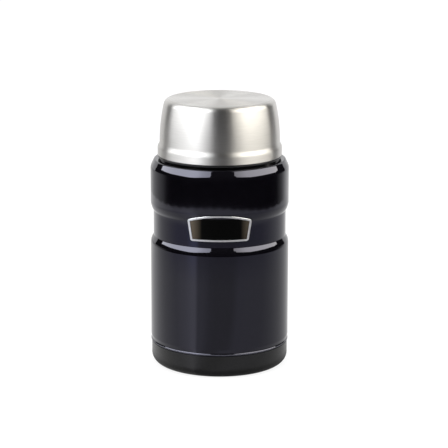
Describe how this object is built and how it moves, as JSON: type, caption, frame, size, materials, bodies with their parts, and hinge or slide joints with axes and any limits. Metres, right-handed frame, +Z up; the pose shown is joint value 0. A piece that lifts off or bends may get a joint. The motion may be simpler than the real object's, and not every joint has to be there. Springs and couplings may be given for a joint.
{
  "type": "insulated food jar",
  "caption": "Tall round insulated food jar: glossy dark steel body with a waisted band and a blank badge, a screw-in foam-filled stopper, and a brushed steel bowl that screws on as the lid.",
  "frame": {"origin": "middle of the foot ring's flat face, on the surface that the jar stands on", "axes": "+Z up along the jar's axis, towards the lid; -Y towards the badge; +X to the right when the badge is faced"},
  "size_m": [0.098, 0.098, 0.1909],
  "materials": {
    "shell_enamel": "gloss",
    "cup_enamel": "satin",
    "liner_steel": "satin",
    "bright_foil": "polished",
    "plate_steel": "satin",
    "getter_metal": "matte",
    "bead_metal": "polished",
    "black_moulding": "satin",
    "badge_chrome": "polished",
    "badge_enamel": "gloss",
    "grey_silicone": "matte",
    "stopper_moulding": "satin",
    "white_foam": "matte",
    "black_silicone": "matte",
    "lid_steel": "satin",
    "bowl_steel": "satin"
  },
  "bodies": {
    "jar": {"outer_shell": "shell_enamel", "inner_vessel": "liner_steel", "radiation_foil": "bright_foil", "vacuum_bottom": "plate_steel", "getter_pellet": "getter_metal", "sealing_bead": "bead_metal", "base_cup": "cup_enamel", "neck_collar": "black_moulding", "badge_frame": "badge_chrome", "badge_field": "badge_enamel"},
    "stopper_seal": {"stopper_gasket": "grey_silicone"},
    "stopper": {"stopper_body": "stopper_moulding", "stopper_top": "stopper_moulding", "stopper_foam": "white_foam"},
    "lid_seal": {"lid_seal_ring": "black_silicone"},
    "lid": {"lid_outer_bowl": "lid_steel", "lid_inner_bowl": "bowl_steel", "lid_thread_ring": "black_moulding"}
  },
  "joints": [
    {"name": "stopper_lift", "type": "slide", "parent": "jar", "child": "stopper_seal", "axis": [0, 0, 1], "range_m": [0, 0.045]},
    {"name": "stopper_turn", "type": "hinge", "parent": "stopper_seal", "child": "stopper", "pos_m": [0, 0, 0.1684], "axis": [0, 0, 1], "range_deg": [0, 360]},
    {"name": "lid_lift", "type": "slide", "parent": "stopper", "child": "lid_seal", "axis": [0, 0, 1], "range_m": [0, 0.05]},
    {"name": "lid_turn", "type": "hinge", "parent": "lid_seal", "child": "lid", "pos_m": [0, 0, 0.1509], "axis": [0, 0, 1], "range_deg": [0, 360]}
  ]
}
